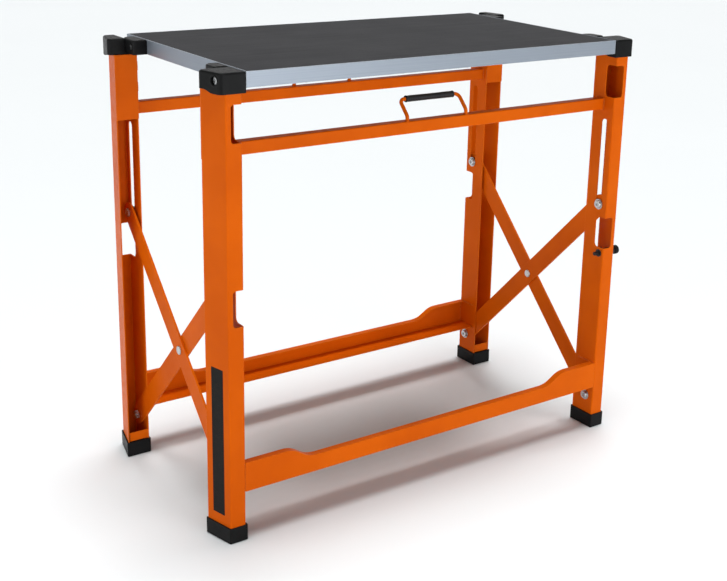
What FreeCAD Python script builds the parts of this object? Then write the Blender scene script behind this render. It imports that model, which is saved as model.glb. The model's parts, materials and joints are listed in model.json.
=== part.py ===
import FreeCAD, Part
import math
import os

# Folding workbench. Two welded steel frames stand front and rear, joined left and right by a pair
# of crossed flat braces inside their channel legs. The table top is pivoted between the tops of the
# front legs, rests on the rear legs, and swings up, over and down to hang between the front legs.
# Millimetres. X runs along the bench, Y from the front frame to the rear frame, Z up. The origin is
# on the floor, under the middle of the table top.
#
# Pieces are drawn for the right front corner, where "depth" is measured from the outer plane of the
# frame towards the middle of the bench, and are mirrored to the other corners.

V = FreeCAD.Vector

# Overall
HEIGHT = 850.0
FRAME_PLANE = 236.0
SHEET = 2.0

# Matching edges of a solid by their place
MATCH = 0.01
CORNER_REACH = 0.5
SHORTEST_EDGE = 1.0

# Legs: channels with a square inner flange and a splayed outer flange
LEG_INNER = 425.5
LEG_WEB_OUTER = 456.0
LEG_MOUTH_OUTER = 470.0
LEG_DEPTH = 60.0
LEG_FOOT_Z = 6.0
LEG_TOP_Z = 820.0
LEG_BEND = 3.0
SPLAY = math.atan2(LEG_MOUTH_OUTER - LEG_WEB_OUTER, LEG_DEPTH)
NOTCH_OUTER = 446.5
NOTCH_DEPTH = 28.5
NOTCH_CORNER = 9.0
NOTCHES = ((410.0, 476.5), (732.0, 797.0))
NOTCH_WEB_DEPTH = 3.5
NOTCH_WEB_CORNER = 6.0
GUSSET_Z = 697.0
TIE_Z = (32.0, 50.0)
TIE_END_GAP = 4.0

# Crossed braces
PIN_DEPTH = 23.0
PIN_RADIUS = 5.0
RUNNING = 0.06
BRACE_FOOT_Z = 70.0
BRACE_HEAD_Z = 503.0
BRACE_WIDTH = 40.0
BRACE_SHEET = 4.0
BRACE_LAYER = (428.0, 432.5)
SLOT_WIDTH = 17.0
SLOT_TOP_Z = 685.0
BUSH_RADIUS = 8.2
WASHER_RADIUS = 11.0
WASHER = 1.6
HEAD_RADIUS = 8.5
HEAD = 4.3
HEAD_DOME = 0.45
KEY_FLATS = 6.0
KEY_DEPTH = 2.5
NUT_FLATS = 16.0
FOOT_NUT = 6.0
FOOT_BOLT_END = 7.0
SLOT_NUT = 4.0
RIVET_HEAD = 2.0
RIVET_DOME = 1.2
GAP = 0.3

# Rails, stretchers and handles
RAIL_Z = (704.0, 727.0)
RAIL_DEPTH = (29.0, 50.0)
RAIL_WALL = 1.5
RAIL_CORNER = 2.0
STRETCHER_Z = 95.0
STRETCHER_MID_Z = 128.0
STRETCHER_END_Z = 151.0
STRETCHER_FLARE = 80.0
STRETCHER_SLOPE = 70.0
STRETCHER_LIP = 14.0
STRETCHER_SHELF = 50.0
HANDLE_HALF = 68.0
HANDLE_ROD = 3.5
HANDLE_FOOT_DEPTH = 34.5
HANDLE_LEAN = 26.0
HANDLE_RISE = 35.5
HANDLE_UPRIGHT = 9.0
HANDLE_BEND = 10.0
GRIP_RADIUS = 6.5
GRIP_HALF = 56.0
GRIP_ROUNDING = 1.2

# Feet and caps
FOOT_WALL = 3.0
FOOT_HEIGHT = 30.0
FOOT_LIP = 2.5
FOOT_CORNER = 2.5
FOOT_SOLE_EDGE = 1.5
FOOT_PLUG_Z = 20.0
FOOT_PLUG_DEPTH = (8.0, 48.0)
FOOT_PLUG_INSET = 4.0
CAP_INNER = 418.2
CAP_FRONT_OUTER = 466.0
CAP_REAR_OUTER = 480.0
CAP_FRONT = -2.0
CAP_REAR = 56.0
CAP_SKIRT_Z = 815.0
CAP_CORNER = 9.0
CAP_EDGE = 4.0
CAP_INNER_CORNER = 1.5
SKIRT_WAVE = (16.0, 27.0, 40.0)
CRADLE_INNER = 445.5
CRADLE_Z = 822.5
COUNTERBORE_X = 463.0
COUNTERBORE_RADIUS = 7.5

# Table top
TOP_HALF = 417.5
TOP_Z = 823.0
RIM_WALL = 2.5
RIM_FLANGE = 18.0
RIM_FLOOR = 2.0
MAT = 3.0
PIVOT_DEPTH = 13.5
PIVOT_Z = 836.5
BLOCK_OUTER = 444.5
FRONT_BLOCK = (62.0, 102.0)
REAR_BLOCK = (381.5, 437.0)
BLOCK_SCREW_ENDS = (12.0, 14.0)
BLOCK_SCREW_RADIUS = 2.5
BLOCK_SCREW_HEAD = 5.0
BLOCK_SCREW_HEIGHT = 3.0
BLOCK_SCREW_KEY = 4.0
BLOCK_FAR_CORNER = 15.0
BLOCK_NEAR_CORNER = 5.0
BLOCK_EDGE = 2.5
BLOCK_SCREW_HEAD_X = BLOCK_OUTER - 4.0
BLOCK_SCREW_END_X = TOP_HALF - 22.0
PIVOT_BUSH = 26.0
PIVOT_BOLT_REACH = 22.0
PIVOT_HEAD_RADIUS = 7.0
PIVOT_HEAD = 4.5
RIM_SCREW_INSET = 10.0
RIM_SCREW_X = (-300.0, -100.0, 100.0, 300.0)
RIM_SCREW_Y = (-120.0, 120.0)
RIM_SCREW_RADIUS = 2.0
RIM_SCREW_LENGTH = 15.0
RIM_SCREW_HEAD_RADIUS = 4.0
RIM_SCREW_HEAD = 1.6
CATCH_DEPTH = 12.0
CATCH_ROOM = 0.6

# Spring plunger that holds the hanging top
PLUNGER_Z = 398.0
PLUNGER_RADIUS = 4.0
PLUNGER_NOSE = 411.5
BARREL_RADIUS = 8.0
BARREL = (424.0, 464.0)
CAVITY_RADIUS = 6.2
CAVITY = (434.0, 458.0)
BARREL_NUT_FLATS = 21.0
BARREL_NUT = 5.0
COLLAR = (434.5, 436.5)
COLLAR_ROOM = 0.2
NOSE_CHAMFER = 1.5
KNOB = (464.5, 478.0)
KNOB_RADIUS = 9.5
KNOB_NECK = 7.0
KNOB_NECK_LENGTH = 5.0
KNOB_EDGE = 2.0
KNOB_BORE_END = KNOB[1] - 6.0
SPRING_WIRE = 0.5
SPRING_RADIUS = 5.2
SPRING_TURNS = 5

PARTS = {}


def at_depth(depth):
    """Y of a point at that depth in the front frame."""
    return depth - FRAME_PLANE


def box(x0, x1, y0, y1, z0, z1):
    return Part.makeBox(x1 - x0, y1 - y0, z1 - z0, V(x0, y0, z0))


def prism(points, direction):
    """A polygon swept along a vector."""
    return Part.Face(Part.makePolygon(points + points[:1])).extrude(direction)


def plan_prism(points, z0, z1):
    """A polygon of (x, depth) points, from z0 up to z1."""
    return prism([V(x, at_depth(d), z0) for x, d in points], V(0, 0, z1 - z0))


def rod_x(radius, x0, x1, y, z):
    return Part.makeCylinder(radius, x1 - x0, V(x0, y, z), V(1, 0, 0))


def rod_z(radius, z0, z1, x, y):
    return Part.makeCylinder(radius, z1 - z0, V(x, y, z0), V(0, 0, 1))


def hexagon_x(across_flats, x0, x1, y, z):
    corner = across_flats / math.sqrt(3)
    turns = [math.radians(30 + 60 * i) for i in range(6)]
    points = [V(x0, y + corner * math.cos(t), z + corner * math.sin(t)) for t in turns]
    return prism(points, V(x1 - x0, 0, 0))


def fuse(shapes):
    return shapes[0].multiFuse(shapes[1:]).removeSplitter()


def mirror_x(shape):
    return shape.mirror(V(0, 0, 0), V(1, 0, 0))


def mirror_y(shape):
    return shape.mirror(V(0, 0, 0), V(0, 1, 0))


def place(shape, side, end):
    """Carries a piece drawn for the right front corner to another corner."""
    if side == "left":
        shape = mirror_x(shape)
    if end == "rear":
        shape = mirror_y(shape)
    return shape


def pair(shape, end):
    """The right and the left copy of a piece, as separate solids."""
    return Part.makeCompound([place(shape, "right", end), place(shape, "left", end)])


def upright(edge, x, y, reach):
    """Whether an edge is vertical and within reach of (x, y)."""
    a, b = edge.Vertexes[0].Point, edge.Vertexes[-1].Point
    near = math.hypot(a.x - x, a.y - y) < reach
    return near and abs(a.z - b.z) > SHORTEST_EDGE and math.hypot(a.x - b.x, a.y - b.y) < MATCH


def round_upright(shape, corners, radius):
    """Rounds the vertical edges at those (x, depth) corners."""
    edges = [e for e in shape.Edges for x, d in corners if upright(e, x, at_depth(d), CORNER_REACH)]
    return shape.makeFillet(radius, edges)


def round_top(shape, z, radius):
    """Rounds every edge that lies in the plane at z."""
    edges = [e for e in shape.Edges if all(abs(v.Z - z) < MATCH for v in e.Vertexes)]
    return shape.makeFillet(radius, edges)


def obround(y, z0, z1, width, x0, x1):
    """A vertical slot's shape, from end to end between z0 and z1, along X."""
    r = width / 2
    low, high = z0 + r, z1 - r
    ends = [rod_x(r, x0, x1, y, low), rod_x(r, x0, x1, y, high)]
    return fuse(ends + [box(x0, x1, y - r, y + r, low, high)])


def rounded_path(points, radius):
    """Straight runs joined by tangent arcs of one radius."""
    edges = []
    start = points[0]
    for before, corner, after in zip(points, points[1:], points[2:]):
        back = (before - corner).normalize()
        ahead = (after - corner).normalize()
        half = back.getAngle(ahead) / 2
        reach = radius / math.tan(half)
        middle = corner + (back + ahead).normalize() * (radius / math.sin(half) - radius)
        enter, leave = corner + back * reach, corner + ahead * reach
        edges.append(Part.LineSegment(start, enter).toShape())
        edges.append(Part.Arc(enter, middle, leave).toShape())
        start = leave
    edges.append(Part.LineSegment(start, points[-1]).toShape())
    return Part.Wire(edges)


def splayed_x(x_at_web, depth):
    """X of a line parallel to the splayed flange, that starts at x_at_web in the frame's plane."""
    return x_at_web + depth * math.tan(SPLAY)


def leg_outline(inner, outer_at_web, front, rear):
    """A trapezium whose outer side is parallel to the splayed flange."""
    return [
        (inner, front),
        (splayed_x(outer_at_web, front), front),
        (splayed_x(outer_at_web, rear), rear),
        (inner, rear),
    ]


# ---------------------------------------------------------------- legs


def notch_tool(z0, z1):
    """A notch round the inner front corner of a leg, for a side block of the hanging top."""
    r = NOTCH_CORNER
    flange = box(LEG_INNER - 5, LEG_INNER + 5, at_depth(-5), at_depth(NOTCH_DEPTH), z0, z1)
    deep = [
        e
        for e in flange.Edges
        if all(abs(v.Y - at_depth(NOTCH_DEPTH)) < MATCH for v in e.Vertexes)
        and abs(e.Vertexes[0].Z - e.Vertexes[-1].Z) < MATCH
    ]
    flange = flange.makeFillet(r, deep)
    web = box(LEG_INNER - 5, NOTCH_OUTER, at_depth(-5), at_depth(NOTCH_WEB_DEPTH), z0, z1)
    outer = [e for e in web.Edges if all(abs(v.X - NOTCH_OUTER) < MATCH for v in e.Vertexes)]
    across = [e for e in outer if abs(e.Vertexes[0].Y - e.Vertexes[-1].Y) > SHORTEST_EDGE]
    return fuse([flange, web.makeFillet(NOTCH_WEB_CORNER, across)])


def make_leg(with_plunger):
    wall = SHEET / math.cos(SPLAY)
    inner_web_x = splayed_x(LEG_WEB_OUTER, SHEET) - wall
    section = [
        (LEG_INNER, 0),
        (LEG_WEB_OUTER, 0),
        (LEG_MOUTH_OUTER, LEG_DEPTH),
        (LEG_MOUTH_OUTER - wall, LEG_DEPTH),
        (inner_web_x, SHEET),
        (LEG_INNER + SHEET, SHEET),
        (LEG_INNER + SHEET, LEG_DEPTH),
        (LEG_INNER, LEG_DEPTH),
    ]
    leg = plan_prism(section, LEG_FOOT_Z, LEG_TOP_Z)
    leg = round_upright(leg, section[0:2], LEG_BEND)
    leg = round_upright(leg, section[4:6], LEG_BEND - SHEET)
    tools = [notch_tool(z0, z1) for z0, z1 in NOTCHES]
    slot_bottom = BRACE_HEAD_Z - SLOT_WIDTH / 2
    slot_x = (LEG_INNER - 1, LEG_INNER + SHEET + 1)
    pin_y = at_depth(PIN_DEPTH)
    tools.append(obround(pin_y, slot_bottom, SLOT_TOP_Z, SLOT_WIDTH, *slot_x))
    tools.append(rod_x(PIN_RADIUS, *slot_x, pin_y, BRACE_FOOT_Z))
    if with_plunger:
        tools.append(rod_x(BARREL_RADIUS, *BARREL, at_depth(PIVOT_DEPTH), PLUNGER_Z))
    return leg.cut(tools)


def make_gusset():
    """The plate that closes the mouth of a leg at its top."""
    x0, x1 = LEG_INNER, LEG_MOUTH_OUTER
    y0 = at_depth(LEG_DEPTH)
    return box(x0, x1, y0, y0 + SHEET, GUSSET_Z, LEG_TOP_Z)


def make_tie():
    """The strip that closes the mouth of a leg at its foot."""
    x0, x1 = LEG_INNER + SHEET, LEG_MOUTH_OUTER - TIE_END_GAP
    y1 = at_depth(LEG_DEPTH)
    return box(x0, x1, y1 - SHEET, y1, *TIE_Z)


# ---------------------------------------------------------------- feet and caps


def leg_pocket(z0, z1):
    """The space that the leg's outline takes."""
    return plan_prism(leg_outline(LEG_INNER, LEG_WEB_OUTER, 0, LEG_DEPTH), z0, z1)


def make_foot():
    inner, outer = LEG_INNER - FOOT_WALL, LEG_WEB_OUTER + FOOT_WALL
    outline = leg_outline(inner, outer, -FOOT_LIP, LEG_DEPTH + FOOT_WALL)
    foot = plan_prism(outline, 0, FOOT_HEIGHT)
    foot = round_upright(foot, outline, FOOT_CORNER)
    foot = round_top(foot, 0, FOOT_SOLE_EDGE)
    pocket = round_upright(
        leg_pocket(LEG_FOOT_Z, FOOT_HEIGHT + 1), [(LEG_INNER, 0), (LEG_WEB_OUTER, 0)], LEG_BEND
    )
    foot = foot.cut(pocket)
    plug = leg_outline(LEG_INNER + SHEET, LEG_WEB_OUTER - FOOT_PLUG_INSET, *FOOT_PLUG_DEPTH)
    return fuse([foot, plan_prism(plug, LEG_FOOT_Z, FOOT_PLUG_Z)])


def skirt_tool():
    """Cuts the cap's lower edge, which rises in a wave from the front to the rear."""
    low, high = CAP_SKIRT_Z, LEG_TOP_Z
    start, middle, end = (at_depth(d) for d in SKIRT_WAVE)
    behind = at_depth(CAP_REAR + 10)
    below = CAP_SKIRT_Z - 5
    x0, x1 = CAP_INNER - 10, CAP_REAR_OUTER + 10
    wave = [V(x0, y, z) for y, z in ((start, low), (middle, low), (middle, high), (end, high))]
    curve = Part.BezierCurve()
    curve.setPoles(wave)
    straight = [wave[-1], V(x0, behind, high), V(x0, behind, below), V(x0, start, below), wave[0]]
    outline = [curve.toShape()]
    outline += [Part.makeLine(a, b) for a, b in zip(straight, straight[1:])]
    return Part.Face(Part.Wire(outline)).extrude(V(x1 - x0, 0, 0))


def cap_body():
    outline = [
        (CAP_INNER, CAP_FRONT),
        (CAP_FRONT_OUTER, CAP_FRONT),
        (CAP_REAR_OUTER, CAP_REAR),
        (CAP_INNER, CAP_REAR),
    ]
    cap = plan_prism(outline, CAP_SKIRT_Z, HEIGHT)
    cap = round_upright(cap, outline[1:3], CAP_CORNER)
    cap = round_upright(cap, outline[0:1], CAP_INNER_CORNER)
    cap = round_top(cap, HEIGHT, CAP_EDGE)
    return cap.cut([leg_pocket(CAP_SKIRT_Z - 1, LEG_TOP_Z), skirt_tool()])


def make_front_cap():
    y = at_depth(PIVOT_DEPTH)
    bore = rod_x(PIN_RADIUS, CAP_INNER - 1, COUNTERBORE_X + 1, y, PIVOT_Z)
    counterbore = rod_x(COUNTERBORE_RADIUS, COUNTERBORE_X, CAP_REAR_OUTER, y, PIVOT_Z)
    return cap_body().cut([bore, counterbore])


def make_rear_cap():
    """A cradle: a shelf under the side block of the top and a wall outside it."""
    front, back = at_depth(CAP_FRONT - 1), at_depth(CAP_REAR + 1)
    over_shelf = box(CAP_INNER - 1, CRADLE_INNER, front, back, CRADLE_Z, HEIGHT + 1)
    return cap_body().cut(over_shelf)


# ---------------------------------------------------------------- rails and handles


def make_upper_rail():
    y0, y1 = at_depth(RAIL_DEPTH[0]), at_depth(RAIL_DEPTH[1])
    z0, z1 = RAIL_Z
    tube = box(-LEG_INNER, LEG_INNER, y0, y1, z0, z1)
    long_edges = [e for e in tube.Edges if abs(e.Vertexes[0].X - e.Vertexes[-1].X) > 10]
    tube = tube.makeFillet(RAIL_CORNER, long_edges)
    w = RAIL_WALL
    reach = LEG_INNER + 1
    return tube.cut(box(-reach, reach, y0 + w, y1 - w, z0 + w, z1 - w))


def stretcher_blank(inset, depth0, depth1):
    """The stretcher's outline, drawn in by inset, between two depths."""
    y = at_depth(depth0)
    z0 = STRETCHER_Z + inset
    z_mid = STRETCHER_MID_Z - inset
    z_end = STRETCHER_END_Z - inset
    x_end = LEG_INNER
    x_high = x_end - STRETCHER_FLARE
    x_low = x_high - STRETCHER_SLOPE
    ease = STRETCHER_SLOPE / 2
    edges = [Part.makeLine(V(-x_end, y, z0), V(x_end, y, z0))]
    edges.append(Part.makeLine(V(x_end, y, z0), V(x_end, y, z_end)))
    edges.append(Part.makeLine(V(x_end, y, z_end), V(x_high, y, z_end)))
    for sign in (1, -1):
        fall = [(x_high, z_end), (x_high - ease, z_end), (x_low + ease, z_mid), (x_low, z_mid)]
        if sign < 0:
            edges.append(Part.makeLine(V(x_low, y, z_mid), V(-x_low, y, z_mid)))
            fall.reverse()
        curve = Part.BezierCurve()
        curve.setPoles([V(sign * x, y, z) for x, z in fall])
        edges.append(curve.toShape())
    edges.append(Part.makeLine(V(-x_high, y, z_end), V(-x_end, y, z_end)))
    edges.append(Part.makeLine(V(-x_end, y, z_end), V(-x_end, y, z0)))
    return Part.Face(Part.Wire(edges)).extrude(V(0, depth1 - depth0, 0))


def make_stretcher():
    """A flared face, with a lip folded back along its top and a deep shelf along its foot."""
    face = stretcher_blank(0, 0, STRETCHER_LIP)
    face = face.cut(stretcher_blank(SHEET, SHEET, STRETCHER_LIP + 1))
    y0, y1 = at_depth(0), at_depth(STRETCHER_SHELF)
    shelf = box(-LEG_INNER, LEG_INNER, y0, y1, STRETCHER_Z, STRETCHER_Z + SHEET)
    return fuse([face, shelf])


def make_handle_rod():
    foot_y = at_depth(HANDLE_FOOT_DEPTH)
    top_y = foot_y + HANDLE_LEAN
    foot_z = RAIL_Z[1]
    top_z = foot_z + HANDLE_RISE
    half = HANDLE_HALF
    points = [
        V(-half, foot_y, foot_z),
        V(-half, foot_y, foot_z + HANDLE_UPRIGHT),
        V(-half, top_y, top_z),
        V(half, top_y, top_z),
        V(half, foot_y, foot_z + HANDLE_UPRIGHT),
        V(half, foot_y, foot_z),
    ]
    path = rounded_path(points, HANDLE_BEND)
    ring = Part.Wire(Part.makeCircle(HANDLE_ROD, points[0], V(0, 0, 1)))
    return path.makePipeShell([ring], True, False)


def make_handle_grip():
    y = at_depth(HANDLE_FOOT_DEPTH) + HANDLE_LEAN
    z = RAIL_Z[1] + HANDLE_RISE
    sleeve = rod_x(GRIP_RADIUS, -GRIP_HALF, GRIP_HALF, y, z)
    ends = [e for e in sleeve.Edges if e.Length < GRIP_HALF]
    sleeve = sleeve.makeFillet(GRIP_ROUNDING, ends)
    return sleeve.cut(rod_x(HANDLE_ROD, -GRIP_HALF - 1, GRIP_HALF + 1, y, z))


# ---------------------------------------------------------------- brace bars and their pins


def button_head(x_under, y, z, radius, height, towards):
    """A domed socket head whose flat side is at x_under, pointing along +X or -X."""
    tip = x_under + towards * height
    head = Part.makeCylinder(radius, height, V(x_under, y, z), V(towards, 0, 0))
    rim = [e for e in head.Edges if all(abs(v.X - tip) < MATCH for v in e.Vertexes)]
    head = head.makeFillet(height * HEAD_DOME, rim)
    key_end = tip - towards * KEY_DEPTH
    socket = hexagon_x(KEY_FLATS, min(tip, key_end), max(tip, key_end), y, z)
    return head.cut(socket)


def make_foot_bolt(layer):
    """The bolt that a brace turns on, with its head inside the leg's flange."""
    y, z = at_depth(PIN_DEPTH), BRACE_FOOT_Z
    bar_face = BRACE_LAYER[layer] + BRACE_SHEET
    under_head = LEG_INNER - WASHER
    pieces = [
        button_head(under_head, y, z, HEAD_RADIUS, HEAD, -1),
        rod_x(WASHER_RADIUS, under_head, LEG_INNER, y, z),
        rod_x(PIN_RADIUS, under_head, bar_face + FOOT_BOLT_END, y, z),
        hexagon_x(NUT_FLATS, bar_face + GAP, bar_face + FOOT_NUT, y, z),
    ]
    if layer == 1:
        flange_face = LEG_INNER + SHEET
        pieces.append(rod_x(HEAD_RADIUS, flange_face, BRACE_LAYER[1] - GAP, y, z))
    return fuse(pieces)


def brace_bar(layer):
    """A flat bar drawn from the foot pivot of the front leg to the slot of the rear leg."""
    x = BRACE_LAYER[layer]
    y0, y1 = at_depth(PIN_DEPTH), -at_depth(PIN_DEPTH)
    z0, z1 = BRACE_FOOT_Z, BRACE_HEAD_Z
    length = math.hypot(y1 - y0, z1 - z0)
    half = BRACE_WIDTH / 2
    flat = fuse(
        [
            box(x, x + BRACE_SHEET, 0, length, -half, half),
            rod_x(half, x, x + BRACE_SHEET, 0, 0),
            rod_x(half, x, x + BRACE_SHEET, length, 0),
        ]
    )
    fit = PIN_RADIUS + RUNNING
    middle = fit if layer == 0 else PIN_RADIUS
    holes = [(0, fit), (length / 2, middle), (length, PIN_RADIUS)]
    flat = flat.cut([rod_x(r, x - 1, x + BRACE_SHEET + 1, along, 0) for along, r in holes])
    flat.rotate(V(0, 0, 0), V(1, 0, 0), math.degrees(math.atan2(z1 - z0, y1 - y0)))
    flat.translate(V(0, y0, z0))
    return flat


def slot_pin(layer):
    """The pin at the head of a brace, with the bush that slides in the slot of the rear leg."""
    y, z = -at_depth(PIN_DEPTH), BRACE_HEAD_Z
    bar = BRACE_LAYER[layer]
    washer_face = LEG_INNER - GAP
    under_head = washer_face - WASHER
    pieces = [
        button_head(under_head, y, z, HEAD_RADIUS, HEAD - GAP, -1),
        rod_x(WASHER_RADIUS, under_head, washer_face, y, z),
        rod_x(PIN_RADIUS, under_head, bar + BRACE_SHEET + SLOT_NUT, y, z),
        hexagon_x(NUT_FLATS, bar + BRACE_SHEET, bar + BRACE_SHEET + SLOT_NUT, y, z),
    ]
    return fuse(pieces)


def slot_bush(layer):
    y, z = -at_depth(PIN_DEPTH), BRACE_HEAD_Z
    x0, x1 = LEG_INNER - GAP, BRACE_LAYER[layer]
    bush = rod_x(BUSH_RADIUS, x0, x1, y, z)
    return bush.cut(rod_x(PIN_RADIUS, x0 - 1, x1 + 1, y, z))


def centre_rivet():
    """The rivet that joins the two bars where they cross."""
    z = (BRACE_FOOT_Z + BRACE_HEAD_Z) / 2
    inner, outer = BRACE_LAYER[0], BRACE_LAYER[1] + BRACE_SHEET + GAP
    heads = []
    for face, towards in ((inner, -1), (outer, 1)):
        head = Part.makeCylinder(HEAD_RADIUS, RIVET_HEAD, V(face, 0, z), V(towards, 0, 0))
        tip = face + towards * RIVET_HEAD
        rim = [e for e in head.Edges if all(abs(v.X - tip) < MATCH for v in e.Vertexes)]
        heads.append(head.makeFillet(RIVET_DOME, rim[:1]))
    return fuse(heads + [rod_x(PIN_RADIUS, inner, outer, 0, z)])


# ---------------------------------------------------------------- table top


def rim_ring():
    """The four edge profiles in one piece: an upright wall and a flange below the board."""
    x, y = TOP_HALF, FRAME_PLANE
    w, f = RIM_WALL, RIM_FLANGE
    ring = box(-x, x, -y, y, TOP_Z, HEIGHT)
    inside = box(-x + w, x - w, -y + w, y - w, TOP_Z + RIM_FLOOR, HEIGHT + 1)
    below = box(-x + f, x - f, -y + f, y - f, TOP_Z - 1, TOP_Z + RIM_FLOOR + 1)
    return ring.cut([inside, below])


def mitred(ring, along_x, sign):
    """The length of the ring on one side of the table, with mitred ends."""
    x, y = TOP_HALF, FRAME_PLANE
    reach = RIM_FLANGE + 2
    if along_x:
        corners = [(-x, sign * y), (x, sign * y)]
        corners += [(x - reach, sign * (y - reach)), (-x + reach, sign * (y - reach))]
    else:
        corners = [(sign * x, -y), (sign * x, y)]
        corners += [(sign * (x - reach), y - reach), (sign * (x - reach), -y + reach)]
    wedge = prism([V(a, b, TOP_Z - 1) for a, b in corners], V(0, 0, HEIGHT - TOP_Z + 2))
    return ring.common(wedge)


def rim_screw_places():
    x, y = TOP_HALF - RIM_SCREW_INSET, FRAME_PLANE - RIM_SCREW_INSET
    places = [(a, s * y) for a in RIM_SCREW_X for s in (-1, 1)]
    return places + [(s * x, b) for b in RIM_SCREW_Y for s in (-1, 1)]


def rim_screws():
    """The screws that hold the rim to the board, from below."""
    screws = []
    for x, y in rim_screw_places():
        head = rod_z(RIM_SCREW_HEAD_RADIUS, TOP_Z - RIM_SCREW_HEAD, TOP_Z, x, y)
        shank = rod_z(RIM_SCREW_RADIUS, TOP_Z, TOP_Z + RIM_SCREW_LENGTH, x, y)
        screws.append(fuse([head, shank]))
    return screws


def block_screw_rows(near, far):
    """Y of the two screws of a block."""
    return at_depth(near + BLOCK_SCREW_ENDS[0]), at_depth(far - BLOCK_SCREW_ENDS[1])


def block_screws():
    """The screws that hold the side blocks, two to a block."""
    screws = []
    for near, far in (FRONT_BLOCK, REAR_BLOCK):
        for y in block_screw_rows(near, far):
            x = BLOCK_SCREW_HEAD_X
            shank = rod_x(BLOCK_SCREW_RADIUS, BLOCK_SCREW_END_X, x, y, PIVOT_Z)
            head = rod_x(BLOCK_SCREW_HEAD, x, x + BLOCK_SCREW_HEIGHT, y, PIVOT_Z)
            socket = hexagon_x(BLOCK_SCREW_KEY, x + 1, x + BLOCK_SCREW_HEIGHT + 1, y, PIVOT_Z)
            screws.append(fuse([shank, head]).cut(socket))
    return screws


def make_block(depths):
    near, far = depths
    outline = [(TOP_HALF, near), (BLOCK_OUTER, near), (BLOCK_OUTER, far), (TOP_HALF, far)]
    block = plan_prism(outline, TOP_Z, HEIGHT)
    block = round_upright(block, outline[2:3], BLOCK_FAR_CORNER)
    block = round_upright(block, outline[1:2], BLOCK_NEAR_CORNER)
    block = round_top(block, HEIGHT, BLOCK_EDGE)
    tools = []
    for y in block_screw_rows(near, far):
        tools.append(rod_x(BLOCK_SCREW_RADIUS, TOP_HALF - 1, BLOCK_SCREW_HEAD_X, y, PIVOT_Z))
        tools.append(rod_x(BLOCK_SCREW_HEAD, BLOCK_SCREW_HEAD_X, BLOCK_OUTER + 1, y, PIVOT_Z))
    return block.cut(tools)


def side_holes(side):
    """What is bored into the side of the table: pivot, block screws and the plunger's catch."""
    y = at_depth(PIVOT_DEPTH)
    face = TOP_HALF + 1
    tools = [rod_x(HEAD_RADIUS, TOP_HALF - PIVOT_BUSH, face, y, PIVOT_Z)]
    for near, far in (FRONT_BLOCK, REAR_BLOCK):
        for row in block_screw_rows(near, far):
            tools.append(rod_x(BLOCK_SCREW_RADIUS, BLOCK_SCREW_END_X, face, row, PIVOT_Z))
    if side == "right":
        y = at_depth(PIVOT_DEPTH + PIVOT_Z - PLUNGER_Z)
        catch_radius = PLUNGER_RADIUS + CATCH_ROOM
        tools.append(rod_x(catch_radius, TOP_HALF - CATCH_DEPTH, face, y, PIVOT_Z))
        return tools
    return [mirror_x(t) for t in tools]


def pivot_bush():
    """The bush in the side of the table that the pivot bolt runs in."""
    y = at_depth(PIVOT_DEPTH)
    bush = rod_x(HEAD_RADIUS, TOP_HALF - PIVOT_BUSH, TOP_HALF, y, PIVOT_Z)
    bore_end = TOP_HALF - PIVOT_BUSH + SHEET
    return bush.cut(rod_x(PIN_RADIUS + RUNNING, bore_end, TOP_HALF + 1, y, PIVOT_Z))


def pivot_bolt():
    """The bolt through a front cap into the side of the table."""
    y = at_depth(PIVOT_DEPTH)
    shank = rod_x(PIN_RADIUS, TOP_HALF - PIVOT_BOLT_REACH, COUNTERBORE_X, y, PIVOT_Z)
    head = button_head(COUNTERBORE_X, y, PIVOT_Z, PIVOT_HEAD_RADIUS, PIVOT_HEAD, 1)
    return fuse([shank, head])


# ---------------------------------------------------------------- spring plunger


def plunger_y():
    return at_depth(PIVOT_DEPTH)


def make_barrel():
    y, z = plunger_y(), PLUNGER_Z
    barrel = rod_x(BARREL_RADIUS, *BARREL, y, z)
    bore = rod_x(PLUNGER_RADIUS + RUNNING, BARREL[0] - 1, BARREL[1] + 1, y, z)
    return barrel.cut([bore, rod_x(CAVITY_RADIUS, *CAVITY, y, z)])


def make_barrel_nut():
    y, z = plunger_y(), PLUNGER_Z
    x0 = LEG_INNER + SHEET
    x1 = x0 + BARREL_NUT
    nut = hexagon_x(BARREL_NUT_FLATS, x0, x1, y, z)
    return nut.cut(rod_x(BARREL_RADIUS, x0 - 1, x1 + 1, y, z))


def make_plunger_pin():
    y, z = plunger_y(), PLUNGER_Z
    pin = rod_x(PLUNGER_RADIUS, PLUNGER_NOSE, KNOB_BORE_END, y, z)
    nose = [e for e in pin.Edges if all(abs(v.X - PLUNGER_NOSE) < MATCH for v in e.Vertexes)]
    pin = pin.makeChamfer(NOSE_CHAMFER, nose[:1])
    return fuse([pin, rod_x(CAVITY_RADIUS - COLLAR_ROOM, *COLLAR, y, z)])


def make_plunger_knob():
    y, z = plunger_y(), PLUNGER_Z
    neck = rod_x(KNOB_NECK, KNOB[0], KNOB[0] + KNOB_NECK_LENGTH, y, z)
    grip = rod_x(KNOB_RADIUS, KNOB[0] + KNOB_NECK_LENGTH - 1, KNOB[1], y, z)
    grip = grip.makeFillet(KNOB_EDGE, [e for e in grip.Edges if e.Length > KNOB_RADIUS * math.pi])
    bore = rod_x(PLUNGER_RADIUS, KNOB[0] - 1, KNOB_BORE_END, y, z)
    return fuse([neck, grip]).cut(bore)


def make_plunger_spring():
    x0, x1 = COLLAR[1] + SPRING_WIRE, CAVITY[1] - SPRING_WIRE
    length = x1 - x0
    helix = Part.makeHelix(length / SPRING_TURNS, length, SPRING_RADIUS)
    ring = Part.Wire(Part.makeCircle(SPRING_WIRE, V(SPRING_RADIUS, 0, 0), V(0, 1, 0)))
    spring = Part.Wire(helix).makePipeShell([ring], True, True)
    spring.rotate(V(0, 0, 0), V(0, 1, 0), 90)
    spring.translate(V(x0, plunger_y(), PLUNGER_Z))
    return spring


# ---------------------------------------------------------------- assembly


def add(name, shape):
    PARTS[name] = shape


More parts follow.
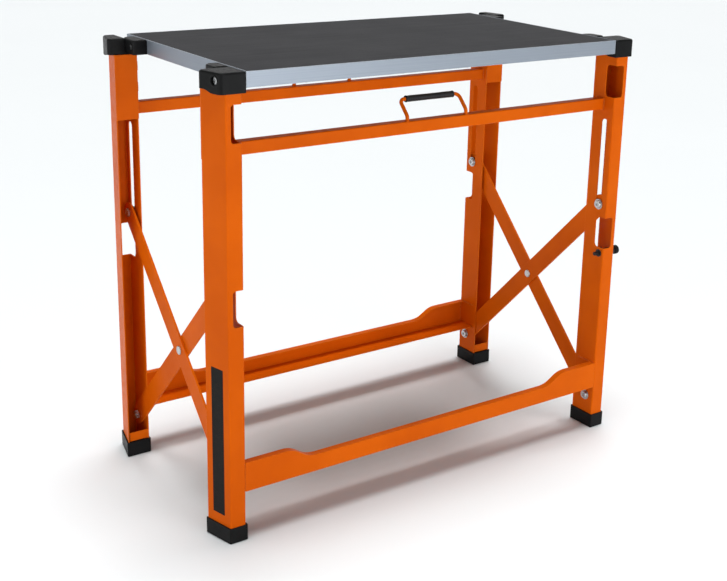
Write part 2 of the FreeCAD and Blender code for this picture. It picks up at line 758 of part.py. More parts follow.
def build_frame(end):
    for side in ("left", "right"):
        plunger = end == "front" and side == "right"
        cap = make_front_cap() if end == "front" else make_rear_cap()
        add(f"{end}_{side}_leg", place(make_leg(plunger), side, end))
        add(f"{end}_{side}_foot", place(make_foot(), side, end))
        add(f"{end}_{side}_cap", place(cap, side, end))
    add(f"{end}_leg_gussets", pair(make_gusset(), end))
    add(f"{end}_leg_ties", pair(make_tie(), end))
    add(f"{end}_upper_rail", place(make_upper_rail(), "right", end))
    add(f"{end}_lower_stretcher", place(make_stretcher(), "right", end))
    add(f"{end}_handle_rod", place(make_handle_rod(), "right", end))
    add(f"{end}_handle_grip", place(make_handle_grip(), "right", end))
    add(f"{end}_brace_bolts", pair(make_foot_bolt(1 if end == "front" else 0), end))


def build_braces():
    """Bar A stands on the front legs, bar B on the rear legs, in the layer inside bar A."""
    for side in ("left", "right"):
        for letter, layer, end in (("a", 1, "front"), ("b", 0, "rear")):
            add(f"{side}_brace_{letter}", place(brace_bar(layer), side, end))
            add(f"{side}_slot_pin_{letter}", place(slot_pin(layer), side, end))
            add(f"{side}_slot_bush_{letter}", place(slot_bush(layer), side, end))
        add(f"{side}_centre_rivet", place(centre_rivet(), side, "front"))


def build_table():
    ring = rim_ring()
    screws = rim_screws()
    holes = side_holes("left") + side_holes("right")
    bores = holes + screws
    edges = (("front", True, -1), ("rear", True, 1), ("left", False, -1), ("right", False, 1))
    for name, along_x, sign in edges:
        add(f"top_{name}_edge", mitred(ring, along_x, sign).cut(bores))
    x, y = TOP_HALF - RIM_WALL, FRAME_PLANE - RIM_WALL
    board = box(-x, x, -y, y, TOP_Z + RIM_FLOOR, HEIGHT - MAT)
    add("top_board", board.cut(bores))
    add("top_mat", box(-x, x, -y, y, HEIGHT - MAT, HEIGHT))
    for side in ("left", "right"):
        for name, depths in (("front", FRONT_BLOCK), ("rear", REAR_BLOCK)):
            add(f"{side}_{name}_block", place(make_block(depths), side, "front"))
    right = block_screws()
    add("block_screws", Part.makeCompound(right + [mirror_x(s) for s in right]))
    add("rim_screws", Part.makeCompound(screws))
    add("pivot_bushes", pair(pivot_bush(), "front"))
    add("top_pivot_bolts", pair(pivot_bolt(), "front"))


def build_plunger():
    add("plunger_barrel", make_barrel())
    add("plunger_nut", make_barrel_nut())
    add("plunger_spring", make_plunger_spring())
    add("plunger_pin", make_plunger_pin())
    add("plunger_knob", make_plunger_knob())


def main():
    build_frame("front")
    build_frame("rear")
    build_braces()
    build_table()
    build_plunger()
    os.makedirs("parts", exist_ok=True)
    for name, shape in PARTS.items():
        if not shape.isValid():
            print("not valid:", name)
        shape.exportStep(f"parts/{name}.step")
    print(len(PARTS), "nodes")


main()
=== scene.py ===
import bpy
import json
import math
from mathutils import Matrix, Vector


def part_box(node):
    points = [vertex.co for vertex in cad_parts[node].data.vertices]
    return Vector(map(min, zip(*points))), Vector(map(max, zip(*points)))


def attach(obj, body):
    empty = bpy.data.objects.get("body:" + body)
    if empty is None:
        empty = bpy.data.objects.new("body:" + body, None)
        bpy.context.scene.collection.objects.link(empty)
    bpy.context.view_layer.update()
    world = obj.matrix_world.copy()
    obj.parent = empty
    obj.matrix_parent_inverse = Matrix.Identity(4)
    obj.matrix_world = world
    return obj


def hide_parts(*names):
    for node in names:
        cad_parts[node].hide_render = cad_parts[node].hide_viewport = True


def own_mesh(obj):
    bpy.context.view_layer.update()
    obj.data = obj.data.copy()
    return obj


# Folding workbench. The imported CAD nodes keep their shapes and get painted, plated and moulded
# materials. The pieces made here are the weld beads of the two frames, the sleeves of the two
# carrying handles, the moulded rims round the pivot bolts, the plunger's spring and one plain band
# printed on one leg. Metres: X along the bench, Y from the front frame to the rear one, Z up.

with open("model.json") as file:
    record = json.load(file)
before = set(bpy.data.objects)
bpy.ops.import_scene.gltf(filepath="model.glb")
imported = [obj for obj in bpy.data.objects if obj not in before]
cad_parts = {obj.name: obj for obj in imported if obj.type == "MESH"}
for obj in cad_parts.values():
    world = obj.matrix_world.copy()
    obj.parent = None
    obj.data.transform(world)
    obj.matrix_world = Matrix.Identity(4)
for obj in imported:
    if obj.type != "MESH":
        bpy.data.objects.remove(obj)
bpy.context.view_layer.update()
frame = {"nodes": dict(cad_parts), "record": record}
nodes = frame["nodes"]
record = frame["record"]


# ---------------------------------------------------------------- material helpers


class Tree:
    """A material's node tree, with short calls for the nodes that the finishes share."""

    def __init__(self, name):
        self.material = bpy.data.materials.new(name)
        self.material.use_nodes = True
        self.nodes = self.material.node_tree.nodes
        self.links = self.material.node_tree.links
        self.shader = self.nodes["Principled BSDF"]
        self.place = self.nodes.new("ShaderNodeTexCoord").outputs["Object"]

    def set(self, **values):
        for name, value in values.items():
            self.shader.inputs[name.replace("_", " ")].default_value = value

    def link(self, source, socket):
        self.links.new(source, self.shader.inputs[socket])

    def stretched(self, scale):
        """Object coordinates drawn out by a scale for each axis."""
        mapping = self.nodes.new("ShaderNodeMapping")
        mapping.inputs["Scale"].default_value = scale
        self.links.new(self.place, mapping.inputs["Vector"])
        return mapping.outputs["Vector"]

    def noise(self, scale, detail=2.0, roughness=0.5, vector=None):
        node = self.nodes.new("ShaderNodeTexNoise")
        node.inputs["Scale"].default_value = scale
        node.inputs["Detail"].default_value = detail
        node.inputs["Roughness"].default_value = roughness
        self.links.new(vector or self.place, node.inputs["Vector"])
        return node.outputs["Fac"]

    def cells(self, scale, feature="F1", vector=None):
        node = self.nodes.new("ShaderNodeTexVoronoi")
        node.feature = feature
        node.inputs["Scale"].default_value = scale
        self.links.new(vector or self.place, node.inputs["Vector"])
        return node

    def spread(self, source, low, high, out_low, out_high):
        """Maps a value's low to high range to another range."""
        node = self.nodes.new("ShaderNodeMapRange")
        for socket, value in zip(("From Min", "From Max", "To Min", "To Max"),
                                 (low, high, out_low, out_high)):
            node.inputs[socket].default_value = value
        self.links.new(source, node.inputs["Value"])
        return node.outputs["Result"]

    def blend_colours(self, factor, first, second):
        """Mixes two colours, or an earlier mix with a colour."""
        node = self.nodes.new("ShaderNodeMix")
        node.data_type = "RGBA"
        self.links.new(factor, node.inputs[0])
        for socket, value in ((node.inputs[6], first), (node.inputs[7], second)):
            if isinstance(value, tuple):
                socket.default_value = (*value, 1.0)
            else:
                self.links.new(value, socket)
        return node.outputs[2]

    def edge_wear_and_highlight(self, radius, low, high):
        """About 1 on a sharp outer or inner edge and 0 on flat metal. The powder coat lightens
        these edges as a painted highlight; the plastic and blacked steel lighten them as wear.
        """
        rounded = self.nodes.new("ShaderNodeBevel")
        rounded.samples = 4
        rounded.inputs["Radius"].default_value = radius
        flat = self.nodes.new("ShaderNodeNewGeometry")
        dot = self.nodes.new("ShaderNodeVectorMath")
        dot.operation = "DOT_PRODUCT"
        self.links.new(rounded.outputs["Normal"], dot.inputs[0])
        self.links.new(flat.outputs["Normal"], dot.inputs[1])
        return self.spread(dot.outputs["Value"], high, low, 0.0, 1.0)

    def bumps(self, layers, edge_radius=None):
        """Stacks (height, strength, distance) bumps, over edges softened by edge_radius."""
        normal = None
        if edge_radius:
            rounded = self.nodes.new("ShaderNodeBevel")
            rounded.samples = 4
            rounded.inputs["Radius"].default_value = edge_radius
            normal = rounded.outputs["Normal"]
        for height, strength, distance in layers:
            node = self.nodes.new("ShaderNodeBump")
            node.inputs["Strength"].default_value = strength
            node.inputs["Distance"].default_value = distance
            self.links.new(height, node.inputs["Height"])
            if normal:
                self.links.new(normal, node.inputs["Normal"])
            normal = node.outputs["Normal"]
        self.link(normal, "Normal")


def powder_coat():
    """Orange polyester powder: orange peel, a little bloom, and a painted highlight of lighter
    orange along the edges.
    """
    t = Tree("orange_powder_coat")
    cloud = t.noise(7.0, 3.0)
    speck = t.noise(2600.0, 1.0)
    deep = (0.61, 0.093, 0.0010)
    bright = (0.69, 0.114, 0.0014)
    colour = t.blend_colours(t.spread(cloud, 0.35, 0.65, 0.0, 1.0), deep, bright)
    colour = t.blend_colours(t.spread(speck, 0.62, 0.74, 0.0, 0.16), colour, (0.80, 0.20, 0.015))
    # painted highlight: sharp edges lightened to stand in for light catching them
    colour = t.blend_colours(t.edge_wear_and_highlight(0.0009, 0.93, 0.995), colour, (0.80, 0.20, 0.015))
    t.link(colour, "Base Color")
    t.link(t.spread(t.noise(90.0, 4.0), 0.3, 0.7, 0.30, 0.42), "Roughness")
    t.set(Coat_Weight=0.01, Coat_Roughness=0.15, Specular_IOR_Level=0.03)
    t.bumps([(t.noise(620.0, 2.0), 0.22, 0.0004), (speck, 0.10, 0.0002)], 0.0008)
    return t.material


def weld_coat():
    """The same powder over a weld bead, with a coarser surface and duller gloss."""
    t = Tree("orange_powder_on_weld")
    blot = t.noise(260.0, 3.0)
    t.link(t.blend_colours(t.spread(blot, 0.4, 0.65, 0.0, 1.0), (0.52, 0.080, 0.0025),
                           (0.66, 0.118, 0.0040)), "Base Color")
    t.link(t.spread(blot, 0.3, 0.7, 0.34, 0.5), "Roughness")
    t.set(Specular_IOR_Level=0.12)
    t.bumps([(blot, 0.4, 0.0006), (t.noise(1500.0), 0.2, 0.0003)])
    return t.material


def moulded_plastic():
    """Black glass-filled nylon: spark-eroded grain, faint flow marks, scuffed edges."""
    t = Tree("black_moulded_plastic")
    grain = t.cells(1150.0).outputs["Distance"]
    flow = t.noise(22.0, 4.0)
    colour = t.blend_colours(t.spread(flow, 0.35, 0.65, 0.0, 1.0), (0.0060, 0.0062, 0.0064),
                             (0.0095, 0.0097, 0.0101))
    colour = t.blend_colours(t.edge_wear_and_highlight(0.0010, 0.90, 0.99), colour, (0.024, 0.025, 0.026))
    t.link(colour, "Base Color")
    t.link(t.spread(t.noise(160.0, 3.0), 0.3, 0.7, 0.30, 0.44), "Roughness")
    t.set(Specular_IOR_Level=0.08)
    t.bumps([(grain, 0.30, 0.0003), (t.noise(70.0), 0.12, 0.0006)], 0.0012)
    return t.material


def rubber(name, pebble):
    """Soft black rubber, with a pebble of that scale."""
    t = Tree(name)
    dust = t.noise(35.0, 5.0, 0.6)
    t.link(t.blend_colours(t.spread(dust, 0.4, 0.75, 0.0, 1.0), (0.012, 0.012, 0.013),
                           (0.030, 0.030, 0.031)), "Base Color")
    t.link(t.spread(dust, 0.3, 0.7, 0.40, 0.58), "Roughness")
    t.set(Specular_IOR_Level=0.2)
    t.bumps([(t.cells(pebble).outputs["Distance"], 0.3, 0.0003), (t.noise(240.0), 0.2, 0.0004)])
    return t.material


def zinc_plate():
    """Bright zinc: small crystals, turning marks and a slight blue passivation."""
    t = Tree("zinc_plate")
    crystal = t.cells(900.0).outputs["Color"]
    tint = t.noise(60.0, 2.0)
    grey = t.nodes.new("ShaderNodeRGBToBW")
    t.links.new(crystal, grey.inputs[0])
    level = grey.outputs[0]
    colour = t.blend_colours(t.spread(level, 0.2, 0.8, 0.0, 1.0), (0.44, 0.45, 0.47),
                             (0.60, 0.60, 0.59))
    colour = t.blend_colours(t.spread(tint, 0.5, 0.8, 0.0, 0.5), colour, (0.47, 0.52, 0.60))
    t.link(colour, "Base Color")
    t.link(t.spread(level, 0.2, 0.8, 0.22, 0.38), "Roughness")
    t.set(Metallic=1.0)
    turning = t.noise(40.0, 2.0, 0.5, t.stretched((90.0, 30.0, 30.0)))
    t.bumps([(turning, 0.15, 0.0002), (level, 0.08, 0.0002)], 0.0005)
    return t.material


def black_oxide():
    """Oil-blacked steel: turning marks, a brownish bloom and brighter rubbed edges."""
    t = Tree("black_oxide_steel")
    bloom = t.noise(110.0, 3.0)
    turning = t.noise(40.0, 2.0, 0.5, t.stretched((90.0, 30.0, 30.0)))
    colour = t.blend_colours(t.spread(bloom, 0.4, 0.7, 0.0, 1.0), (0.016, 0.016, 0.018),
                             (0.032, 0.028, 0.026))
    colour = t.blend_colours(t.edge_wear_and_highlight(0.0005, 0.90, 0.99), colour, (0.12, 0.12, 0.12))
    t.link(colour, "Base Color")
    t.link(t.spread(bloom, 0.3, 0.7, 0.30, 0.46), "Roughness")
    t.set(Metallic=0.6)
    t.bumps([(turning, 0.12, 0.0002)], 0.0005)
    return t.material


def anodised(name, scale):
    """Anodised extrusion with die lines; scale is small along the extrusion."""
    t = Tree(name)
    die = t.noise(1.0, 4.0, 0.7, t.stretched(scale))
    film = t.noise(5.0, 3.0)
    colour = t.blend_colours(t.spread(die, 0.3, 0.7, 0.0, 1.0), (0.235, 0.268, 0.315),
                             (0.285, 0.322, 0.372))
    colour = t.blend_colours(t.spread(film, 0.4, 0.7, 0.0, 0.4), colour, (0.255, 0.292, 0.345))
    colour = t.blend_colours(t.edge_wear_and_highlight(0.0006, 0.92, 0.995), colour, (0.80, 0.83, 0.86))
    t.link(colour, "Base Color")
    t.link(t.spread(die, 0.3, 0.7, 0.34, 0.46), "Roughness")
    t.set(Metallic=0.55)
    t.bumps([(die, 0.12, 0.0002)], 0.0006)
    return t.material


def pressed_board():
    """Melamine-faced chipboard: flecked face, darker pores."""
    t = Tree("pressed_board")
    fibre = t.noise(1.0, 5.0, 0.65, t.stretched((18.0, 420.0, 420.0)))
    chips = t.cells(240.0, vector=t.stretched((0.35, 1.0, 1.0))).outputs["Distance"]
    colour = t.blend_colours(t.spread(fibre, 0.3, 0.7, 0.0, 1.0), (0.30, 0.205, 0.12),
                             (0.47, 0.345, 0.22))
    colour = t.blend_colours(t.spread(chips, 0.55, 0.9, 0.0, 0.5), colour, (0.17, 0.11, 0.06))
    t.link(colour, "Base Color")
    t.link(t.spread(fibre, 0.3, 0.7, 0.5, 0.72), "Roughness")
    t.bumps([(fibre, 0.25, 0.0003), (chips, 0.15, 0.0003)])
    return t.material


def rubber_mat():
    """Dark grey work mat: fine pebble, faint length-wise calender lines, dust."""
    t = Tree("grey_work_mat")
    pebble = t.cells(620.0, "SMOOTH_F1").outputs["Distance"]
    calender = t.noise(1.0, 3.0, 0.6, t.stretched((3.0, 160.0, 3.0)))
    dust = t.noise(11.0, 5.0, 0.6)
    colour = t.blend_colours(t.spread(dust, 0.35, 0.7, 0.0, 1.0), (0.031, 0.031, 0.034),
                             (0.040, 0.040, 0.043))
    colour = t.blend_colours(t.spread(pebble, 0.35, 0.8, 0.0, 0.45), colour, (0.022, 0.022, 0.024))
    t.link(colour, "Base Color")
    t.link(t.spread(calender, 0.3, 0.7, 0.60, 0.66), "Roughness")
    t.set(Specular_IOR_Level=0.12)
    t.bumps([(pebble, 0.35, 0.0004), (calender, 0.10, 0.0003)])
    return t.material


def printed_black():
    """Screen-printed black: thin ink, with pinholes that show the orange below."""
    t = Tree("printed_black")
    pin = t.noise(1500.0, 2.0)
    t.link(t.blend_colours(t.spread(pin, 0.66, 0.74, 0.0, 0.7), (0.007, 0.0065, 0.006),
                           (0.20, 0.05, 0.01)), "Base Color")
    t.link(t.spread(t.noise(120.0), 0.3, 0.7, 0.36, 0.5), "Roughness")
    t.set(Specular_IOR_Level=0.08)
    t.bumps([(pin, 0.12, 0.0002)])
    return t.material


ORANGE = powder_coat()
WELD = weld_coat()
PLASTIC = moulded_plastic()
SLEEVE = rubber("black_rubber_sleeve", 1600.0)
ZINC = zinc_plate()
BLACK_STEEL = black_oxide()
ALONG_X = anodised("aluminium_along_x", (3.0, 900.0, 900.0))
ALONG_Y = anodised("aluminium_along_y", (900.0, 3.0, 900.0))
BOARD = pressed_board()
MAT = rubber_mat()
INK = printed_black()

BY_SLOT = {
    "orange_paint": ORANGE,
    "black_plastic": PLASTIC,
    "black_rubber": SLEEVE,
    "zinc": ZINC,
    "black_steel": BLACK_STEEL,
    "aluminium": ALONG_X,
    "board": BOARD,
    "grey_mat": MAT,
}

SIDE_EDGES = ("top_left_edge", "top_right_edge")


def dress(obj, material):
    """Gives an object that material and no other."""
    obj.data.materials.clear()
    obj.data.materials.append(material)


for part in record["subparts"]:
    name = part["node"]
    dress(nodes[name], ALONG_Y if name in SIDE_EDGES else BY_SLOT[part["material_slot"]])


# ---------------------------------------------------------------- mesh helpers


def piece(name, vertices, faces, material, body, slot, smooth=True):
    """A new visible piece that rides on a body. The slot argument is not used."""
    mesh = bpy.data.meshes.new(name)
    mesh.from_pydata([tuple(v) for v in vertices], [], faces)
    mesh.validate()
    mesh.polygons.foreach_set("use_smooth", [smooth] * len(mesh.polygons))
    obj = bpy.data.objects.new(name, mesh)
    bpy.context.scene.collection.objects.link(obj)
    dress(obj, material)
    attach(obj, body)
    return obj


def tube(centres, radii, around, closed):
    """Rings of points about a line of centres; a closed line joins its last ring to its first."""
    count = len(centres)
    vertices = []
    faces = []
    side = None
    for i, centre in enumerate(centres):
        before = centres[i - 1] if closed or i > 0 else centre
        after = centres[(i + 1) % count] if closed or i + 1 < count else centre
        ahead = (after - before).normalized()
        if side is None:
            side = ahead.orthogonal().normalized()
        side = (side - ahead * side.dot(ahead)).normalized()
        up = ahead.cross(side)
        for j in range(around):
            turn = 2 * math.pi * j / around
            reach = side * math.cos(turn) + up * math.sin(turn)
            vertices.append(centre + reach * radii[i])
    rings = count if closed else count - 1
    for i in range(rings):
        for j in range(around):
            k = (j + 1) % around
            a, b = i * around, ((i + 1) % count) * around
            faces.append((a + j, a + k, b + k, b + j))
    if not closed:
        faces.append(tuple(reversed(range(around))))
        faces.append(tuple(range((count - 1) * around, count * around)))
    return vertices, faces


def along(points, closed, step):
    """Points every step or so along straight runs."""
    ends = points[1:] + points[:1] if closed else points[1:]
    found = []
    for a, b in zip(points, ends):
        count = max(1, round((b - a).length / step))
        found += [a.lerp(b, i / count) for i in range(count)]
    return found if closed else found + [points[-1]]


WELD_STEP = 0.0008
WELD_PITCH = 0.0032
BEAD_LEAST = 0.82
RIPPLE = 0.18
SLOW_RIPPLE = 0.05
SLOW_TURN = 0.9
BEAD_END = 0.35
BEAD_SIDES = 10


def weld(points, radius, closed=False):
    """A stacked weld bead along a line of points."""
    centres = along(points, closed, WELD_STEP)
    radii = []
    for i in range(len(centres)):
        ripple = abs(math.sin(math.pi * i * WELD_STEP / WELD_PITCH))
        slow = math.sin(SLOW_TURN * i * WELD_STEP / WELD_PITCH)
        radii.append(radius * (BEAD_LEAST + RIPPLE * ripple + SLOW_RIPPLE * slow))
    if not closed:
        radii[0] = radii[-1] = radius * BEAD_END
    return tube(centres, radii, BEAD_SIDES, closed)


def join(parts):
    """One list of vertices and faces from several."""
    vertices = []
    faces = []
    for more, shapes in parts:
        start = len(vertices)
        vertices += more
        faces += [tuple(start + i for i in face) for face in shapes]
    return vertices, faces


def mirrored(shape):
    """A shape and its mirror image across the middle of the bench."""
    vertices, faces = shape
    other = [Vector((-v.x, v.y, v.z)) for v in vertices]
    return join([(vertices, faces), (other, [tuple(reversed(f)) for f in faces])])


def lathe_x(profile, y, z, around=40):
    """A closed ring of (x, radius) points turned about a line along X."""
    count = len(profile)
    vertices = []
    faces = []
    for x, r in profile:
        for j in range(around):
            turn = 2 * math.pi * j / around
            vertices.append(Vector((x, y + r * math.cos(turn), z + r * math.sin(turn))))
    for i in range(count):
        for j in range(around):
            k = (j + 1) % around
            a, b = i * around, ((i + 1) % count) * around
            faces.append((a + j, b + j, b + k, a + k))
    return vertices, faces


# ---------------------------------------------------------------- welds

RAIL_BEAD = 0.0022
FLANGE_BEAD = 0.0020
ROD_BEAD = 0.0016
ROD_BEAD_LIFT = 0.0004
BEAD_SUNK = 0.35
SHEET = 0.002
BEND = 0.004
ROD = 0.0035
RING_STEPS = 24
STITCH_STARTS = (0.012, 0.052, 0.092)
STITCH_LENGTH = 0.018


def frame_welds(end):
    """The beads at the rail, the stretcher, the handle and the closing plates of one frame."""
    body = f"{end}_frame"
    inward = 1.0 if end == "front" else -1.0
    low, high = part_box(f"{end}_upper_rail")
    x = high.x - RAIL_BEAD * BEAD_SUNK
    corners = [(low.y, low.z), (high.y, low.z), (high.y, high.z), (low.y, high.z)]
    rail = weld([Vector((x, y, z)) for y, z in corners], RAIL_BEAD, closed=True)
    parts = [mirrored(rail)]

    low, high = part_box(f"{end}_lower_stretcher")
    plane, back = (low.y, high.y) if inward > 0 else (high.y, low.y)
    x = high.x - FLANGE_BEAD * BEAD_SUNK
    inner = plane + inward * SHEET
    near = plane + inward * BEND
    upright = [Vector((x, inner, low.z + BEND)), Vector((x, inner, high.z - BEND))]
    under = [Vector((x, near, low.z)), Vector((x, back, low.z))]
    over = [Vector((x, near, high.z)), Vector((x, back, high.z))]
    parts += [mirrored(weld(line, FLANGE_BEAD)) for line in (upright, under, over)]

    rail_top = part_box(f"{end}_upper_rail")[1].z
    rod_low, rod_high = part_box(f"{end}_handle_rod")
    foot_x = rod_high.x - ROD
    foot_y = (rod_low.y if inward > 0 else rod_high.y) + inward * ROD
    ring = []
    for i in range(RING_STEPS):
        turn = 2 * math.pi * i / RING_STEPS
        ring.append(Vector((foot_x + ROD * math.cos(turn), foot_y + ROD * math.sin(turn),
                            rail_top + ROD_BEAD_LIFT)))
    parts.append(mirrored(weld(ring, ROD_BEAD, closed=True)))

    low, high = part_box(f"{end}_leg_gussets")
    back = high.y if inward > 0 else low.y
    y = back - inward * SHEET
    leg_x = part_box(f"{end}_right_leg")[0].x
    for start in STITCH_STARTS:
        line = [Vector((leg_x, y, low.z + start)),
                Vector((leg_x, y, low.z + start + STITCH_LENGTH))]
        parts.append(mirrored(weld(line, ROD_BEAD)))
    piece(f"{end}_frame_welds", *join(parts), WELD, body, "orange_paint")


for end in ("front", "rear"):
    frame_welds(end)


# ---------------------------------------------------------------- handle sleeves

SLEEVE_LIP = 0.006
SLEEVE_BORE = 0.0037
SLEEVE_STEPS = 150
UNDERSIZE = 0.0006
LIP_HEIGHT = 0.0006
LIP_PLACE = 0.0022
LIP_WIDTH = 0.0016
WAIST = 0.0002
RIB_HEIGHT = 0.00035
RIBS = 14
RIB_SHARPNESS = 6
END_BEVEL = 0.0012
BEVEL_SLOPE = 0.9
BORE_INSET = 0.0004


def handle_sleeve(end):
    """A pulled-on rubber sleeve: rolled ends, slight waist and soft finger ribs."""
    low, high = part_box(f"{end}_handle_grip")
    y, z = (low.y + high.y) / 2, (low.z + high.z) / 2
    plain = (high.z - low.z) / 2 - UNDERSIZE
    half = high.x
    profile = []
    for i in range(SLEEVE_STEPS + 1):
        x = -half + 2 * half * i / SLEEVE_STEPS
        from_end = half - abs(x)
        lip = LIP_HEIGHT * math.exp(-((from_end - LIP_PLACE) / LIP_WIDTH) ** 2)
        waist = WAIST * math.cos(math.pi * x / (2 * half)) ** 2
        rib = RIB_HEIGHT * math.cos(math.pi * RIBS * x / half) ** RIB_SHARPNESS
        if from_end < END_BEVEL:
            r = plain - (END_BEVEL - from_end) * BEVEL_SLOPE
        elif from_end > SLEEVE_LIP:
            r = plain + lip + rib - waist
        else:
            r = plain + lip - waist
        profile.append((x, r))
    profile += [(half - BORE_INSET, SLEEVE_BORE), (-half + BORE_INSET, SLEEVE_BORE)]
    obj = piece(f"{end}_handle_sleeve", *lathe_x(profile, y, z), SLEEVE, f"{end}_frame",
                "black_rubber")
    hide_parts(f"{end}_handle_grip")


for end in ("front", "rear"):
    handle_sleeve(end)


# ---------------------------------------------------------------- pivot bolt rims

CAP_FRONT_X = 0.466
RIM_PROFILE = [(-0.0015, 0.0079), (0.0007, 0.0079), (0.0010, 0.0083), (0.0010, 0.0096),
               (0.0006, 0.0103), (-0.0002, 0.0107), (-0.0015, 0.0107)]


def bolt_rims():
    """A raised moulded rim round each pivot bolt, square to the splayed side of the front cap."""
    cap_low, cap_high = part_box("front_right_cap")
    bolt_low, bolt_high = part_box("top_pivot_bolts")
    y, z = (bolt_low.y + bolt_high.y) / 2, (bolt_low.z + bolt_high.z) / 2
    slope = (cap_high.x - CAP_FRONT_X) / (cap_high.y - cap_low.y)
    face_x = CAP_FRONT_X + slope * (y - cap_low.y)
    vertices, faces = lathe_x(RIM_PROFILE, 0.0, 0.0)
    turn = Matrix.Rotation(-math.atan(slope), 4, "Z")
    placed = [turn @ v + Vector((face_x, y, z)) for v in vertices]
    piece("front_cap_rims", *mirrored((placed, faces)), PLASTIC, "front_frame", "black_plastic")


bolt_rims()


# ---------------------------------------------------------------- plunger spring

WIRE = 0.0005
WIRE_SIDES = 10
TURNS = 5
END_PITCH = 0.00105
TURN_STEPS = 28
END_GAP = 0.0002


def plunger_coil():
    """A compression spring with closed ends."""
    low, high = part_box("plunger_spring")
    y, z = (low.y + high.y) / 2, (low.z + high.z) / 2
    coil = (high.z - low.z) / 2 - WIRE
    start, end = low.x + WIRE + END_GAP, high.x - WIRE
    open_pitch = (end - start - 2 * END_PITCH) / (TURNS - 2)
    x = start
    centres = []
    for i in range(TURNS * TURN_STEPS + 1):
        turn = 2 * math.pi * i / TURN_STEPS
        centres.append(Vector((x, y + coil * math.cos(turn), z + coil * math.sin(turn))))
        closed = i < TURN_STEPS or i >= (TURNS - 1) * TURN_STEPS
        x += (END_PITCH if closed else open_pitch) / TURN_STEPS
    wire = tube(centres, [WIRE] * len(centres), WIRE_SIDES, False)
    obj = piece("plunger_coil", *wire, ZINC, "front_frame", "zinc")
    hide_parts("plunger_spring")
    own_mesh(obj)


plunger_coil()


# ---------------------------------------------------------------- leg band

INK_THICK = 0.00015
FLANGE_X = -0.456
# The band's two sides as shares of the flange, and its bottom and top
BAND_NEAR = 0.26
BAND_FAR = 0.76
BAND_BOTTOM = 0.050
BAND_TOP = 0.330


def leg_band():
    """One plain printed band on the splayed flange of the left front leg, in place of lettering."""
    low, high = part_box("front_left_leg")
    corner = Vector((FLANGE_X, low.y, 0.0))
    run = Vector((low.x, high.y, 0.0)) - corner
    normal = Vector((-run.y, run.x, 0.0)).normalized()
    near = corner + run * BAND_NEAR
    far = corner + run * BAND_FAR
    outline = [Vector((p.x, p.y, z)) for p, z in
               ((near, BAND_BOTTOM), (far, BAND_BOTTOM), (far, BAND_TOP), (near, BAND_TOP))]
    vertices = [p + normal * lift for lift in (-INK_THICK, INK_THICK) for p in outline]
    faces = [(3, 2, 1, 0), (4, 5, 6, 7)]
    faces += [(i, (i + 1) % 4, 4 + (i + 1) % 4, 4 + i) for i in range(4)]
    piece("front_left_leg_band", vertices, faces, INK, "front_frame", "black_plastic",
          smooth=False)


leg_band()


# ---------------------------------------------------------------- floor, light and camera

FLOOR_HALF = 30.0
FLOOR_Z = -0.0004
HORIZON_Z = 0.02
CEILING_Z = 0.55
CEILING = 0.05
SUN_POWER = 1.75
SUN_SPREAD = 23.0
SUN_DIRECTIONS = ((-0.19, -0.13, -1.0), (0.10, 0.05, -1.0))
FILL_POWER = 46.0
FILL_PLACE = (0.6, -3.6, 1.0)
SIDE_POWER = 22.0
SIDE_PLACE = (-3.6, -0.4, 1.0)
FILL_SIZE = 1.6
FILL_AIM = Vector((0.0, 0.0, 0.45))
SENSOR_WIDTH = 36.0
LENS = 62.0
CAMERA_SHIFT = (-0.0805, -0.1)
CAMERA_PLACE = (-1.386, -2.0209, 1.1982)
CAMERA_DEGREES = (73.753, -1.761, -36.240)


def studio_floor():
    """A plain pale floor, just under the feet."""
    mesh = bpy.data.meshes.new("studio_floor")
    corners = [(x * FLOOR_HALF, y * FLOOR_HALF, FLOOR_Z)
               for x, y in ((-1, -1), (1, -1), (1, 1), (-1, 1))]
    mesh.from_pydata(corners, [], [(0, 1, 2, 3)])
    floor = bpy.data.objects.new("studio_floor", mesh)
    bpy.context.scene.collection.objects.link(floor)
    t = Tree("pale_floor")
    t.link(t.blend_colours(t.noise(0.8, 2.0), (0.765, 0.793, 0.803), (0.785, 0.813, 0.823)),
           "Base Color")
    t.set(Roughness=0.6, Specular_IOR_Level=0.25)
    dress(floor, t.material)


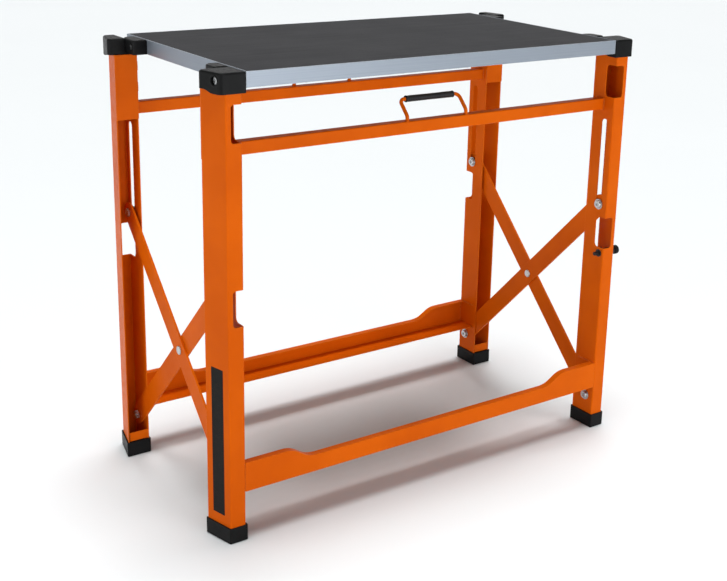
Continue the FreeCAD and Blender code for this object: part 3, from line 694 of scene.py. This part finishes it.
def soft_box(name, place, power):
    """A square area light that faces the middle of the bench."""
    light = bpy.data.lights.new(name, "AREA")
    light.shape = "RECTANGLE"
    light.size = light.size_y = FILL_SIZE
    light.energy = power
    obj = bpy.data.objects.new(name, light)
    obj.location = place
    obj.rotation_euler = (FILL_AIM - Vector(place)).to_track_quat("-Z", "Y").to_euler()
    bpy.context.scene.collection.objects.link(obj)


def studio_light():
    """A white horizon under a dimmer ceiling, two broad soft suns from above and two fills."""
    world = bpy.data.worlds.new("studio")
    world.use_nodes = True
    tree = world.node_tree
    backdrop = tree.nodes["Background"]
    backdrop.inputs["Color"].default_value = (1.0, 1.0, 1.0, 1.0)
    place = tree.nodes.new("ShaderNodeTexCoord")
    parts = tree.nodes.new("ShaderNodeSeparateXYZ")
    fade = tree.nodes.new("ShaderNodeMapRange")
    tree.links.new(place.outputs["Generated"], parts.inputs[0])
    tree.links.new(parts.outputs["Z"], fade.inputs["Value"])
    for socket, value in (("From Min", HORIZON_Z), ("From Max", CEILING_Z), ("To Min", 1.0),
                          ("To Max", CEILING)):
        fade.inputs[socket].default_value = value
    tree.links.new(fade.outputs["Result"], backdrop.inputs["Strength"])
    bpy.context.scene.world = world
    for direction in SUN_DIRECTIONS:
        sun = bpy.data.lights.new("broad_sun", "SUN")
        sun.energy = SUN_POWER
        sun.angle = math.radians(SUN_SPREAD)
        obj = bpy.data.objects.new("broad_sun", sun)
        obj.rotation_euler = Vector(direction).to_track_quat("-Z", "Y").to_euler()
        bpy.context.scene.collection.objects.link(obj)
    soft_box("front_fill", FILL_PLACE, FILL_POWER)
    soft_box("side_fill", SIDE_PLACE, SIDE_POWER)


def camera():
    """The camera, in front of the bench, to its left and above its top."""
    data = bpy.data.cameras.new("camera")
    data.sensor_width = SENSOR_WIDTH
    data.lens = LENS
    data.shift_x, data.shift_y = CAMERA_SHIFT
    obj = bpy.data.objects.new("camera", data)
    obj.location = CAMERA_PLACE
    obj.rotation_euler = [math.radians(a) for a in CAMERA_DEGREES]
    bpy.context.scene.collection.objects.link(obj)
    bpy.context.scene.camera = obj


studio_floor()
studio_light()
camera()
bpy.context.scene.view_settings.view_transform = "Standard"
bpy.context.scene.view_settings.look = "None"
